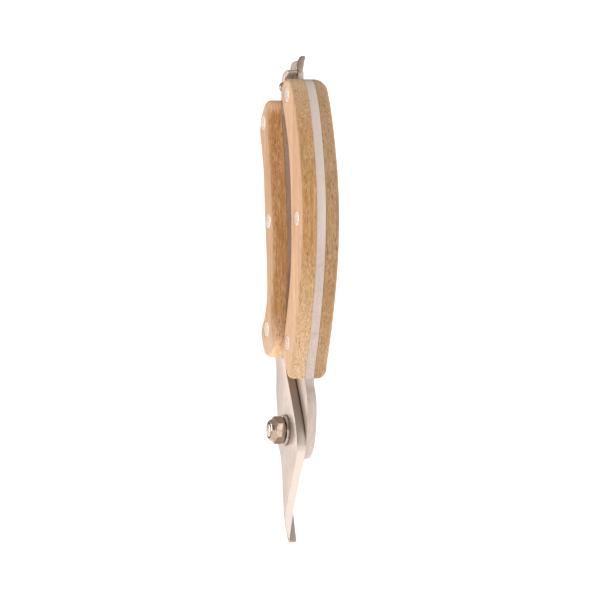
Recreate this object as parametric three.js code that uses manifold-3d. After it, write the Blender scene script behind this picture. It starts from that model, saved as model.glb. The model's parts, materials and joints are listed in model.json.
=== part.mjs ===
// Bypass pruning shears with riveted wooden handles, a pivot bolt with a
// locking nut, and a catch at the end of the handles. Millimetres, +Z up,
// handles up and blade tips down, shown closed.
//
// Every shape is drawn in the plane of the blades, with the pivot at (0, 0):
// the first number runs towards the palm handle (+X), the second one up (+Z).
// Depth is counted from the plane where the two steel plates meet, and grows
// towards the nut (-Y).

import * as THREE from 'three';
import { mergeVertices } from 'three/addons/utils/BufferGeometryUtils.js';
import Module from 'manifold-3d';

const wasm = await Module();
wasm.setup();

// ---- driving sizes -------------------------------------------------------

const PLATE = 4; // thickness of each steel plate
const SCALE_FRONT = 6.4; // thickness of the wooden scales towards the nut
const SCALE_BACK = 6; // thickness of the ones behind, sanded a little more
const FIT = 0.05; // gap between pieces that touch
const SMOOTH = 4; // outline steps for each drawn point
const ROUND = 32; // facets of a round piece

const BOLT_RADIUS = 2.95;
const BOLT_HOLE = 3.25;
const HEAD_RADIUS = 5.25;
const HEAD_HEIGHT = 3.3;
const SOCKET_RADIUS = 2.3;
const SOCKET_DEPTH = 2;

const WASHER_RADIUS = 6.5;
const WASHER_THICK = 1.2;
const NUT_RADIUS = 5.77; // over the corners
const NUT_ROUND = 5.5; // the chamfer of the hexagon
const NUT_HEX = 4.1;
const NUT_HEIGHT = 5.8;
const COLLAR_RADIUS = 4.45;
const BOLT_PROUD = 0.35;
const INSERT_RADIUS = 3.75; // the nylon ring in the collar
const INSERT_DEPTH = 1.8;

const PIN_RADIUS = 3.2;

const SPRING_WIRE = 0.4; // radius of the wire
const SPRING_RADIUS = 4.9;
const SPRING_TURNS = 2;
const POCKET_RADIUS = 6.1;
const POCKET_DEPTH = 2.9;
const OPENING = 32; // degrees that the spring's leg is free to travel

const CATCH_PIVOT = [-3.4, 140.6];
const CATCH_THICK = 2.4;
const CATCH_SPACER = 0.6; // the washer between the catch and its plate
const RIVET_RADIUS = 1.3;
const RIVET_HEAD = 2;
const RIVET_DOME = 1.4;

const PALM_PINS = [[8.2, 137.3], [20.5, 86.5], [8.7, 35.7]];
const FINGER_PINS = [[-9.9, 126.1], [-3.4, 85.7], [-5.5, 41.2]];

// ---- materials -----------------------------------------------------------

const steel = new THREE.MeshStandardMaterial({ color: 0xd6c8c0, roughness: 0.35, metalness: 1 });
const chrome = new THREE.MeshStandardMaterial({ color: 0xd8d4d0, roughness: 0.15, metalness: 1 });
const ash = new THREE.MeshStandardMaterial({ color: 0xd2a878, roughness: 0.55, metalness: 0 });
const nylon = new THREE.MeshStandardMaterial({ color: 0x9fa8b4, roughness: 0.5, metalness: 0 });

// ---- tools for shapes ----------------------------------------------------

// A closed outline: each step is one corner, [s, z], or a smooth run through
// several points, [[s, z], [s, z], ...], that starts where the last one ended.
function outline(...steps) {
  const shape = new THREE.Shape();
  shape.moveTo(...steps[0]);
  for (const step of steps.slice(1)) {
    if (Array.isArray(step[0])) shape.splineThru(step.map((p) => new THREE.Vector2(...p)));
    else shape.lineTo(...step);
  }
  return shape;
}

// A flat piece with that outline, between two depths.
function slab(shape, from, to) {
  const extrusion = { depth: to - from, bevelEnabled: false, curveSegments: SMOOTH };
  return new THREE.ExtrudeGeometry(shape, extrusion)
    .translate(0, 0, from)
    .rotateX(Math.PI / 2);
}

// A turned piece round the depth axis at [s, z]; its profile is [radius, depth].
function turned(profile, [s, z] = [0, 0], facets = ROUND) {
  const points = profile.map(([radius, depth]) => new THREE.Vector2(radius, depth));
  return new THREE.LatheGeometry(points, facets).rotateX(Math.PI).translate(s, 0, z);
}

function rod(radius, from, to, at, facets = ROUND) {
  return turned([[0, from], [radius, from], [radius, to], [0, to]], at, facets);
}

function solid(geometry) {
  const bare = geometry.clone();
  bare.deleteAttribute('normal');
  bare.deleteAttribute('uv');
  const merged = mergeVertices(bare, 1e-4);
  return new wasm.Manifold(new wasm.Mesh({
    numProp: 3,
    vertProperties: new Float32Array(merged.attributes.position.array),
    triVerts: new Uint32Array(merged.index.array),
  }));
}

function geometryOf(manifold) {
  const mesh = manifold.getMesh();
  const geometry = new THREE.BufferGeometry();
  geometry.setAttribute('position', new THREE.BufferAttribute(mesh.vertProperties, 3));
  geometry.setIndex(new THREE.BufferAttribute(mesh.triVerts, 1));
  geometry.computeVertexNormals();
  return geometry;
}

function cut(body, ...tools) {
  return geometryOf(tools.reduce((left, tool) => left.subtract(solid(tool)), solid(body)));
}

function joined(...bodies) {
  return geometryOf(bodies.map(solid).reduce((sum, body) => sum.add(body)));
}

// ---- handle outlines -----------------------------------------------------

// The edges that the scales share with the steel inside them. The palm
// handle's outer edge and the finger handle's run upwards, the inner ones down.
const PALM_OUTER = [
  [15.3, 28], [18.6, 36.5], [23.3, 52], [26.8, 69], [28.2, 86], [27.1, 102.5],
  [23.8, 118], [20, 130.6], [16.8, 137.4], [15, 140.2], [12.8, 142.4], [10.4, 143.3],
];
const PALM_END = [[8.6, 143.6], [6.4, 143.4], [3.9, 142.4], [2, 140.8], [1.1, 138.6]];
const PALM_INNER = [
  [1.4, 136.4], [3.3, 132.4], [7, 124], [9.9, 116.4], [11.9, 106], [13.4, 94], [13.8, 82],
  [13.3, 69], [11.8, 60.7], [9.4, 52.5], [6.9, 45.2], [4.6, 38.5], [2.9, 32],
];
const PALM_FOOT = [13, 21.2];

const FINGER_FOOT = [-5.2, 29.7];
const FINGER_OUTER = [
  [-8.6, 30.9], [-11.5, 34.4], [-13.5, 39], [-12.8, 42], [-9.9, 45.4], [-7.3, 50], [-5.9, 54.9],
  [-5.7, 61], [-6, 69], [-7.6, 84.4], [-8.8, 94.3], [-9.9, 104.1], [-11.3, 110.4], [-13, 116],
  [-14.8, 120.6], [-15, 123.2], [-14.2, 126.6], [-12.3, 130], [-9.6, 132.9], [-7.2, 134.6],
];
const FINGER_END = [[-6.1, 135.2], [-5.1, 135], [-4.5, 134]];
const FINGER_INNER = [
  [-4.2, 131], [-3.4, 124.6], [-2, 116], [0, 106], [1.4, 94], [2.4, 84.4], [3.1, 74.6],
  [3, 66], [2, 58], [1.2, 51], [1.6, 44.5], [2.9, 37],
];

const PALM_SCALE = outline(
  PALM_FOOT,
  PALM_OUTER,
  PALM_END,
  PALM_INNER,
  [[2.9, 30.4], [4.2, 28.4], [5.9, 26.4], [7.2, 24.2], [8.9, 22.5], [11, 21.4], PALM_FOOT],
);

const FINGER_SCALE = outline(
  FINGER_FOOT,
  FINGER_OUTER,
  FINGER_END,
  FINGER_INNER,
  [[2.2, 34.4], [0, 31.8], [-2.6, 30.2], FINGER_FOOT],
);

// ---- the blade half: one plate from the handle's end to the blade tip -----

const BLADE_ROOT = -8; // where the ground bevel starts
const BLADE_TIP = -45.9;

const through = (points) => new THREE.SplineCurve(points.map((p) => new THREE.Vector2(...p)));

// Four lines run down the blade, each as [s, z]: the cutting edge, the line
// where the flat face ends and the ground bevel starts, and the spine. The
// face's depth falls away towards the tip.
const CUTTING_EDGE = through([
  [-8.3, BLADE_ROOT], [-9, -12], [-10.4, -18], [-11.6, -24], [-12.1, -30], [-11.6, -35],
  [-10, -39.5], [-8.2, -43], [-6.5, BLADE_TIP],
]);
const BEVEL_LINE = through([
  [-8.2, BLADE_ROOT], [-6.5, -12], [-5.6, -17.5], [-4.8, -23.5], [-3.8, -29], [-2.8, -34],
  [-3.9, -38.6], [-5.2, -42.4], [-6.4, BLADE_TIP],
]);
const SPINE = through([
  [14.5, BLADE_ROOT], [12.4, -11.9], [9.1, -16.4], [5.8, -21.6], [2.4, -27.2], [-0.9, -32.8],
  [-3.1, -38.2], [-4.8, -42.3], [-6.1, BLADE_TIP],
]);
const FACE_DEPTH = through([
  [PLATE, BLADE_ROOT], [3.75, -12], [3.55, -18], [3.5, -24], [3.5, -30], [3.45, -34.5],
  [2.85, -39.2], [1.55, -43], [0.35, BLADE_TIP],
]);
const EDGE_DEPTH = 0.12; // the cutting edge isn't a razor
const STATIONS = 30;

function bladeTaper() {
  const position = [];
  for (let i = 0; i <= STATIONS; i += 1) {
    const t = i / STATIONS;
    const edge = CUTTING_EDGE.getPoint(t);
    const bevel = BEVEL_LINE.getPoint(t);
    const spine = SPINE.getPoint(t);
    const depth = FACE_DEPTH.getPoint(t).x;
    position.push(edge.x, 0, edge.y);
    position.push(edge.x, -EDGE_DEPTH, edge.y);
    position.push(bevel.x, -depth, bevel.y);
    position.push(spine.x, -depth, spine.y);
    position.push(spine.x, 0, spine.y);
  }
  const ring = 5;
  const index = [];
  for (let i = 0; i < STATIONS; i += 1) {
    for (let j = 0; j < ring; j += 1) {
      const a = i * ring + j;
      const b = i * ring + ((j + 1) % ring);
      index.push(a, a + ring, b, b, a + ring, b + ring);
    }
  }
  const end = STATIONS * ring;
  for (let j = 1; j < ring - 1; j += 1) {
    index.push(0, j, j + 1);
    index.push(end, end + j + 1, end + j);
  }
  const geometry = new THREE.BufferGeometry();
  geometry.setAttribute('position', new THREE.Float32BufferAttribute(position, 3));
  geometry.setIndex(index);
  geometry.computeVertexNormals();
  return geometry;
}

const BLADE_PLATE = outline(
  [-8.3, BLADE_ROOT],
  [[-9.7, -5], [-10.1, 4], [-11.2, 11], [-12, 16], [-11.8, 21], [-12.1, 26], [-13.4, 30.5],
    [-14, 35], [-13.5, 39]],
  FINGER_OUTER.slice(3, -3),
  [[-9.6, 131.6], [-6.9, 133.4], [-5.9, 134.6]],
  [-5.5, 136.4],
  [-5, 143.2],
  [[-3.7, 145.7], [-1, 147.1], [1.8, 147.6], [3.6, 147.3], [4, 146.4], [2.9, 145.6], [-0.2, 144.3]],
  [[-1.2, 143.2], [-1.3, 140], [-1.6, 136.4]],
  [[-3.6, 131.4], [-4.1, 128], ...FINGER_INNER.slice(1)],
  [[1.2, 31.4], [0, 27.4], [1.4, 23.2]],
  [[6.3, 15], [9.8, 8.8], [12.7, 3.2], [14.2, -1], [14.8, -4.6], [14.5, BLADE_ROOT]],
);

const LEG_ANGLE = 60; // where the spring's free leg stands, closed
const LEG_ROOM = 10;
const GROOVE_HALF = SPRING_WIRE + 0.3;
const GROOVE_DEPTH = 2.2;
const LEG_RISE = 2;

// An arc groove for the spring's leg, from one angle to the other.
function arcGroove(from, to, depthFrom, depthTo) {
  const shape = new THREE.Shape();
  const [start, stop] = [THREE.MathUtils.degToRad(from), THREE.MathUtils.degToRad(to)];
  shape.absarc(0, 0, SPRING_RADIUS + GROOVE_HALF, start, stop, false);
  shape.absarc(0, 0, SPRING_RADIUS - GROOVE_HALF, stop, start, true);
  return slab(shape, depthFrom, depthTo);
}

function bladePlate() {
  const holes = FINGER_PINS.map((at) => rod(PIN_RADIUS + FIT, -1, PLATE + 1, at));
  return cut(
    joined(slab(BLADE_PLATE, 0, PLATE), bladeTaper()),
    rod(BOLT_HOLE, -1, PLATE + 1),
    rod(RIVET_RADIUS + FIT, -1, PLATE + 1, CATCH_PIVOT),
    arcGroove(LEG_ANGLE - OPENING - LEG_ROOM, LEG_ANGLE + LEG_ROOM, -1, GROOVE_DEPTH),
    ...holes,
  );
}

// ---- the hook half ---------------------------------------------------------

const HOOK_THIN = 2.9; // the hook is ground thinner than the plate, from the back
const HOOK_GRIND = -10;
const SEAT_HALF = 0.9; // the slot that the spring's other leg lies in
const SEAT_END = 11;

const HOOK_PLATE = outline(
  PALM_FOOT,
  PALM_OUTER,
  [[8.6, 143.6], [7.4, 143.2], [6.1, 141.6], [5.2, 140], [4.4, 138.2]],
  [4.2, 136.9],
  [2.1, 136.8],
  [2, 138.4],
  [0.8, 138.6],
  PALM_INNER,
  [[-0.4, 27.6], [-4.6, 20], [-8.8, 12], [-11.5, 4], [-13.4, -4], [-15.1, -12], [-15.8, -19],
    [-15.2, -26.5], [-13.9, -34], [-12.1, -39.6], [-9.8, -43.8], [-8.1, -45.9], [-6.9, -46.3],
    [-6, -45.5]],
  [[-6.6, -43.4], [-8.3, -38.6], [-9.9, -33.8], [-9.9, -28.4], [-8.4, -23], [-5.2, -18],
    [-1.4, -13.8], [2, -12]],
  [[5.2, -11.7], [8.2, -11.2], [11.4, -9], [14, -5.2], [15.4, -1], [16.3, 5], [16.4, 11]],
  [[15.4, 14.8], [13.8, 18], PALM_FOOT],
);

function hookPlate() {
  const holes = PALM_PINS.map((at) => rod(PIN_RADIUS + FIT, -PLATE - 1, 1, at));
  const grindEnd = HOOK_GRIND - 6;
  const ground = outline(
    [-30, HOOK_GRIND], [-30, -60], [20, -60], [20, grindEnd], [2, grindEnd], [-8, HOOK_GRIND],
  );
  const hookBack = slab(ground, -PLATE - 1, -HOOK_THIN);
  const seatShape = outline([0, SEAT_HALF], [SEAT_END, SEAT_HALF], [SEAT_END, -SEAT_HALF], [0, -SEAT_HALF]);
  const seat = slab(seatShape, -POCKET_DEPTH, 1);
  return cut(
    slab(HOOK_PLATE, -PLATE, 0),
    rod(BOLT_HOLE, -PLATE - 1, 1),
    rod(POCKET_RADIUS, -POCKET_DEPTH, 1),
    seat,
    hookBack,
    ...holes,
  );
}

// ---- scales and pins -------------------------------------------------------

function scale(shape, from, to, pins) {
  return cut(slab(shape, from, to), ...pins.map((at) => rod(PIN_RADIUS + FIT, from - 1, to + 1, at)));
}

// ---- pivot hardware --------------------------------------------------------

const NUT_SEAT = PLATE + FIT + WASHER_THICK + FIT;
const NUT_END = NUT_SEAT + NUT_HEIGHT;

function pivotBolt() {
  const back = -PLATE - FIT;
  const socket = new THREE.CylinderGeometry(SOCKET_RADIUS, SOCKET_RADIUS, SOCKET_DEPTH, 6)
    .translate(0, -back + HEAD_HEIGHT - SOCKET_DEPTH / 2 + 0.01, 0);
  const body = turned([
    [0, back - HEAD_HEIGHT], [3, back - HEAD_HEIGHT], [4.3, back - 2.7], [5, back - 1.7],
    [HEAD_RADIUS, back - 0.6], [HEAD_RADIUS, back], [BOLT_RADIUS, back],
    [BOLT_RADIUS, NUT_END + BOLT_PROUD - 0.4], [BOLT_RADIUS - 0.4, NUT_END + BOLT_PROUD],
    [0, NUT_END + BOLT_PROUD],
  ]);
  return cut(body, socket);
}

function pivotWasher() {
  const [from, to] = [PLATE + FIT, PLATE + FIT + WASHER_THICK];
  return cut(rod(WASHER_RADIUS, from, to), rod(BOLT_HOLE, from - 1, to + 1));
}

// The locking nut: a chamfered hexagon with a round collar over a nylon ring.
function pivotNut() {
  const hexagon = new THREE.CylinderGeometry(NUT_RADIUS, NUT_RADIUS, NUT_HEX, 6)
    .translate(0, -NUT_SEAT - NUT_HEX / 2, 0);
  const chamfer = turned([
    [0, NUT_SEAT], [NUT_ROUND - 0.5, NUT_SEAT], [NUT_ROUND + 0.2, NUT_SEAT + 0.4],
    [NUT_ROUND + 0.2, NUT_SEAT + NUT_HEX - 0.7], [NUT_ROUND - 0.8, NUT_SEAT + NUT_HEX],
    [0, NUT_SEAT + NUT_HEX],
  ]);
  const collar = turned([
    [0, NUT_SEAT + 1], [COLLAR_RADIUS, NUT_SEAT + 1], [COLLAR_RADIUS, NUT_END - 0.8],
    [COLLAR_RADIUS - 0.3, NUT_END - 0.2], [COLLAR_RADIUS - 0.8, NUT_END], [0, NUT_END],
  ]);
  const body = solid(hexagon).intersect(solid(chamfer)).add(solid(collar));
  return geometryOf(body
    .subtract(solid(rod(BOLT_RADIUS + FIT, NUT_SEAT - 1, NUT_END + 1)))
    .subtract(solid(rod(INSERT_RADIUS, NUT_END - INSERT_DEPTH, NUT_END + 1))));
}

function nutInsert() {
  const [from, to] = [NUT_END - INSERT_DEPTH + FIT, NUT_END - 0.3];
  return cut(rod(INSERT_RADIUS - FIT, from, to), rod(BOLT_RADIUS + FIT, from - 1, to + 1));
}

// ---- the torsion spring in its pocket --------------------------------------

// Two turns round the bolt: one leg lies out along a slot in the hook plate,
// the other one stands up into the groove of the blade plate.
class SpringLine extends THREE.Curve {
  getPoint(t, target = new THREE.Vector3()) {
    const low = -POCKET_DEPTH + SPRING_WIRE + 0.1;
    const pitch = 2 * SPRING_WIRE + 0.06;
    const turns = SPRING_TURNS + LEG_ANGLE / 360;
    const legs = 0.1;
    if (t < legs) {
      const out = SPRING_RADIUS + 4.6 * (1 - t / legs);
      return target.set(out, -low, 0);
    }
    if (t > 1 - legs) {
      const up = (t - 1 + legs) / legs;
      const angle = THREE.MathUtils.degToRad(LEG_ANGLE);
      const depth = low + pitch * turns + up * LEG_RISE;
      return target.set(SPRING_RADIUS * Math.cos(angle), -depth, SPRING_RADIUS * Math.sin(angle));
    }
    const turn = turns * (t - legs) / (1 - 2 * legs);
    const angle = turn * 2 * Math.PI;
    const depth = low + pitch * turn;
    return target.set(SPRING_RADIUS * Math.cos(angle), -depth, SPRING_RADIUS * Math.sin(angle));
  }
}

function torsionSpring() {
  const wire = new THREE.Shape();
  wire.absarc(0, 0, SPRING_WIRE, 0, 2 * Math.PI);
  const sweep = { extrudePath: new SpringLine(), steps: 60, curveSegments: 3 };
  return new THREE.ExtrudeGeometry(wire, sweep);
}

// ---- the catch --------------------------------------------------------------

const CATCH_FRONT = -CATCH_SPACER - 2 * FIT;
const CATCH_BACK = CATCH_FRONT - CATCH_THICK;

// A lever on the blade half, behind its plate: a paddle above, a beak that
// drops behind the hook plate's tooth, and a thumb tab bent to the back.
const CATCH_LEVER = outline(
  [-7.2, 141.5],
  [[-8.1, 145], [-7.7, 148.4], [-5.6, 150.6], [-2, 151.3], [1.6, 151.3]],
  [2.8, 150.2],
  [[2.7, 147.4], [2.6, 144.8], [2.7, 142.6]],
  [[3, 142], [4.4, 141.2], [4.5, 140.2], [3.9, 138.2]],
  [3.6, 137.3],
  [2.4, 137.3],
  [[2.2, 138.8], [1.4, 139.2], [0, 138.2]],
  [[-2.2, 136.9], [-4.6, 136.8], [-6.6, 138.4], [-7.2, 141.5]],
);

// The tab's own outline, [depth, z], and its place across the shears.
const THUMB_TAB = [
  [CATCH_FRONT, 147], [-2.9, 147.3], [-3.6, 149.2], [-4.5, 153.2],
  [-2.9, 153.4], [-1.4, 152.4], [-0.5, 151],
];
const TAB_FROM = 1.3;
const TAB_THICK = 1.7;

function thumbTab() {
  const shape = new THREE.Shape(THUMB_TAB.map(([depth, z]) => new THREE.Vector2(-depth, z)));
  return new THREE.ExtrudeGeometry(shape, { depth: TAB_THICK, bevelEnabled: false })
    .rotateX(Math.PI / 2)
    .rotateZ(Math.PI / 2)
    .translate(TAB_FROM, 0, 0);
}

function catchLever() {
  return cut(
    joined(slab(CATCH_LEVER, CATCH_BACK, CATCH_FRONT), thumbTab()),
    rod(RIVET_RADIUS + FIT, CATCH_BACK - 1, CATCH_FRONT + 1, CATCH_PIVOT),
  );
}

function catchWasher() {
  const [from, to] = [-FIT - CATCH_SPACER, -FIT];
  return cut(
    rod(RIVET_HEAD + 0.5, from, to, CATCH_PIVOT),
    rod(RIVET_RADIUS + FIT, from - 1, to + 1, CATCH_PIVOT),
  );
}

function catchRivet() {
  const back = CATCH_BACK - FIT;
  const front = PLATE + FIT;
  return turned([
    [0, back - 0.8], [1.2, back - 0.75], [RIVET_HEAD - 0.2, back - 0.35], [RIVET_HEAD, back],
    [RIVET_RADIUS, back], [RIVET_RADIUS, front], [RIVET_HEAD, front],
    [RIVET_HEAD - 0.05, front + 0.5], [RIVET_HEAD - 0.5, front + 1.05], [0.9, front + 1.3],
    [0, front + RIVET_DOME],
  ], CATCH_PIVOT, 24);
}

// ---- the assembly ------------------------------------------------------------

const shears = new THREE.Group();

function add(name, geometry, material) {
  const mesh = new THREE.Mesh(geometry, material);
  mesh.name = name;
  shears.add(mesh);
}

add('hook_plate', hookPlate(), steel);
add('blade_plate', bladePlate(), steel);

add('palm_scale_front', scale(PALM_SCALE, FIT, SCALE_FRONT, PALM_PINS), ash);
add('palm_scale_back', scale(PALM_SCALE, -PLATE - SCALE_BACK, -PLATE - FIT, PALM_PINS), ash);
add('finger_scale_front', scale(FINGER_SCALE, PLATE + FIT, PLATE + SCALE_FRONT, FINGER_PINS), ash);
add('finger_scale_back', scale(FINGER_SCALE, -SCALE_BACK, -FIT, FINGER_PINS), ash);

const PIN_PLACES = ['top', 'middle', 'bottom'];
PIN_PLACES.forEach((place, i) => {
  add(`palm_pin_${place}`, rod(PIN_RADIUS, -PLATE - SCALE_BACK, SCALE_FRONT, PALM_PINS[i]), steel);
  add(`finger_pin_${place}`, rod(PIN_RADIUS, -SCALE_BACK, PLATE + SCALE_FRONT, FINGER_PINS[i]), steel);
});

add('pivot_bolt', pivotBolt(), chrome);
add('pivot_washer', pivotWasher(), chrome);
add('pivot_nut', pivotNut(), chrome);
add('nut_insert', nutInsert(), nylon);
add('torsion_spring', torsionSpring(), steel);

add('catch_lever', catchLever(), steel);
add('catch_rivet', catchRivet(), chrome);
add('catch_washer', catchWasher(), steel);

// The origin is at the middle of the box's base.
shears.updateMatrixWorld(true);
const box = new THREE.Box3().setFromObject(shears);
const middle = box.getCenter(new THREE.Vector3());
shears.position.set(-middle.x, -middle.y, -box.min.z);
shears.updateMatrixWorld(true);

export default shears;
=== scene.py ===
"""Bypass pruning shears with riveted wooden handles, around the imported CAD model."""
import json
import math

import bmesh
import bpy
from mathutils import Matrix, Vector
from mathutils.geometry import delaunay_2d_cdt


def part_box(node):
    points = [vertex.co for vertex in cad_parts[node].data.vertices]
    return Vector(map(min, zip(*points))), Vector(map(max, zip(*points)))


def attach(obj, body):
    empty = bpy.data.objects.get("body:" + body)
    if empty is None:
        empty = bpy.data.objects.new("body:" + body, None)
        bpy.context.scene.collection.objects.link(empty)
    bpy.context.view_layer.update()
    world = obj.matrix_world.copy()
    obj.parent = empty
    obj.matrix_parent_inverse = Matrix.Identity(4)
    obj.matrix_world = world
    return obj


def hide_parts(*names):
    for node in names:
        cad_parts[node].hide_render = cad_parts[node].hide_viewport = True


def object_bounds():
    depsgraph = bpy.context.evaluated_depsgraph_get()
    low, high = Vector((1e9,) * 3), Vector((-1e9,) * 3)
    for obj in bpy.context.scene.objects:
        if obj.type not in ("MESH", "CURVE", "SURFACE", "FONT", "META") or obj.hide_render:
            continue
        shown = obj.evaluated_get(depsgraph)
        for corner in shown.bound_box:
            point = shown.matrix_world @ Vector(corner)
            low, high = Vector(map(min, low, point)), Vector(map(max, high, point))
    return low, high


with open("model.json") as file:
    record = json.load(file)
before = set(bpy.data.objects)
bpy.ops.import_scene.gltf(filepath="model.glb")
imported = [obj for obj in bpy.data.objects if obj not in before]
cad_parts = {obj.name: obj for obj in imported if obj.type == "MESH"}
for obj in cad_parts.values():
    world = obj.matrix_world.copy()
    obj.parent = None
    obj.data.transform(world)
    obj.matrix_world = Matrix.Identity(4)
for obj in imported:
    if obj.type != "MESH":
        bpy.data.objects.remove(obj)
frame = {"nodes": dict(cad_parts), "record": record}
cad_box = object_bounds()

MM = 0.001

# ---- places, from the frame ------------------------------------------------------

JOINTS = {joint["name"]: joint for joint in frame["record"]["behaviour"]["joints"]}
PIVOT = Vector(JOINTS["pivot"]["pos_m"])
CATCH_PIVOT = Vector(JOINTS["catch_turn"]["pos_m"])

PALM_HALF = "palm_half"
FINGER_HALF = "finger_half"
CATCH = "catch"
HALVES = {"palm": PALM_HALF, "finger": FINGER_HALF}
PIN_PLACES = ("top", "middle", "bottom")


def corners(node):
    low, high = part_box(node)
    return Vector(low), Vector(high)


def middle(node):
    low, high = corners(node)
    return (low + high) / 2


# ---- camera ----------------------------------------------------------------------

CAMERA_AZIMUTH = 71
CAMERA_DISTANCE = 3.2
CAMERA_CLIP = (0.05, 50)
FRAME_WIDTH = 0.2459  # what the picture spans at the pivot
SENSOR = 36
AIM_RIGHT = 2.25 * MM
AIM_UP = 53.3 * MM


def add_camera():
    angle = math.radians(CAMERA_AZIMUTH)
    right = Vector((math.cos(angle), math.sin(angle), 0))
    back = Vector((math.sin(angle), -math.cos(angle), 0))
    aim = PIVOT + right * AIM_RIGHT + Vector((0, 0, AIM_UP))
    data = bpy.data.cameras.new("camera")
    data.sensor_width = SENSOR
    data.lens = SENSOR * CAMERA_DISTANCE / FRAME_WIDTH
    data.clip_start, data.clip_end = CAMERA_CLIP
    camera = bpy.data.objects.new("camera", data)
    camera.location = aim + back * CAMERA_DISTANCE
    camera.rotation_euler = (-back).to_track_quat("-Z", "Y").to_euler()
    bpy.context.scene.collection.objects.link(camera)
    bpy.context.scene.camera = camera


# ---- node helpers for materials --------------------------------------------------


class Nodes:
    """Adds shader nodes to a tree and links them."""

    def __init__(self, tree):
        self.tree = tree

    def link(self, source, target):
        self.tree.links.new(source, target)

    def put(self, target, value):
        if isinstance(value, bpy.types.NodeSocket):
            self.link(value, target)
        else:
            target.default_value = value

    def source(self, name):
        return self.tree.nodes.new("ShaderNodeTexCoord").outputs[name]

    def stretched(self, vector, stretch, offset=(0, 0, 0), turn=(0, 0, 0)):
        node = self.tree.nodes.new("ShaderNodeMapping")
        node.inputs["Location"].default_value = offset
        node.inputs["Rotation"].default_value = turn
        node.inputs["Scale"].default_value = stretch
        self.link(vector, node.inputs["Vector"])
        return node.outputs[0]

    def noise(self, vector, scale, detail=4, roughness=0.5, distortion=0):
        node = self.tree.nodes.new("ShaderNodeTexNoise")
        self.link(vector, node.inputs["Vector"])
        node.inputs["Scale"].default_value = scale
        node.inputs["Detail"].default_value = detail
        node.inputs["Roughness"].default_value = roughness
        node.inputs["Distortion"].default_value = distortion
        return node.outputs[0]

    def wave(self, vector, scale, distortion, detail, detail_scale):
        node = self.tree.nodes.new("ShaderNodeTexWave")
        self.link(vector, node.inputs["Vector"])
        node.inputs["Scale"].default_value = scale
        node.inputs["Distortion"].default_value = distortion
        node.inputs["Detail"].default_value = detail
        node.inputs["Detail Scale"].default_value = detail_scale
        node.bands_direction = "DIAGONAL"
        return node.outputs["Fac"]

    def mix(self, factor, first, second, blend="MIX"):
        node = self.tree.nodes.new("ShaderNodeMix")
        node.data_type = "RGBA"
        node.blend_type = blend
        self.put(node.inputs["Factor"], factor)
        for socket, value in ((node.inputs["A"], first), (node.inputs["B"], second)):
            self.put(socket, value if isinstance(value, bpy.types.NodeSocket) else (*value, 1))
        return node.outputs["Result"]

    def math(self, operation, first, second=0.0):
        node = self.tree.nodes.new("ShaderNodeMath")
        node.operation = operation
        self.put(node.inputs[0], first)
        self.put(node.inputs[1], second)
        return node.outputs[0]

    def span(self, value, low, high, to_low, to_high):
        node = self.tree.nodes.new("ShaderNodeMapRange")
        self.link(value, node.inputs["Value"])
        for socket, number in zip(list(node.inputs)[1:5], (low, high, to_low, to_high)):
            socket.default_value = number
        return node.outputs[0]

    def split(self, vector):
        node = self.tree.nodes.new("ShaderNodeSeparateXYZ")
        self.link(vector, node.inputs[0])
        return node.outputs

    def bump(self, height, strength, distance, under=None):
        node = self.tree.nodes.new("ShaderNodeBump")
        node.inputs["Strength"].default_value = strength
        node.inputs["Distance"].default_value = distance
        self.link(height, node.inputs["Height"])
        if under is not None:
            self.link(under, node.inputs["Normal"])
        return node.outputs[0]


class Surface(Nodes):
    """A material with one Principled shader."""

    def __init__(self, name):
        self.material = bpy.data.materials.new(name)
        self.material.use_nodes = True
        super().__init__(self.material.node_tree)
        self.tree.nodes.clear()
        output = self.tree.nodes.new("ShaderNodeOutputMaterial")
        self.shader = self.tree.nodes.new("ShaderNodeBsdfPrincipled")
        self.link(self.shader.outputs[0], output.inputs["Surface"])
        self.place = self.source("Object")

    def give(self, socket, value):
        self.put(self.shader.inputs[socket], value)


def shaded(colour, factor):
    return tuple(min(1.0, channel * factor) for channel in colour)


# ---- wood ------------------------------------------------------------------------

# the wood's colours on its sides (EDGE_) and faces (FACE_): partly the grain's cut, partly painted
# light, the faces painted paler as if more strongly lit
EDGE_LIGHT = (0.72, 0.465, 0.25)
EDGE_WARM = (0.64, 0.37, 0.15)
EDGE_DEEP = (0.40, 0.195, 0.058)
FACE_LIGHT = (0.84, 0.565, 0.375)
FACE_WARM = (0.74, 0.445, 0.255)
FACE_DEEP = (0.57, 0.315, 0.16)
# painted light: the pale colour the scales take where they are painted as if brightly lit
PAINTED_PALE_LIGHT = (0.95, 0.71, 0.50)
PORE = (0.17, 0.085, 0.03)

# how fine each feature of the grain is
RING_SCALE = 150
DRIFT_SCALE = 90
STREAK_SCALE = 1000
FIBRE_SCALE = 2600
FLECK_SCALE = 2400
PORE_SCALE = 3600
PIT_SCALE = 2700

# how strongly each feature shows at its strongest
LATE_WOOD = 0.40
STREAKS = 0.90
FIBRES = 0.75
FLECKS = 0.40
PORES = 0.66
FACE_PAINTED_PALING = 0.5  # faces are painted pale this much as the sides are
FACE_PORES = 0.35


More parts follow.
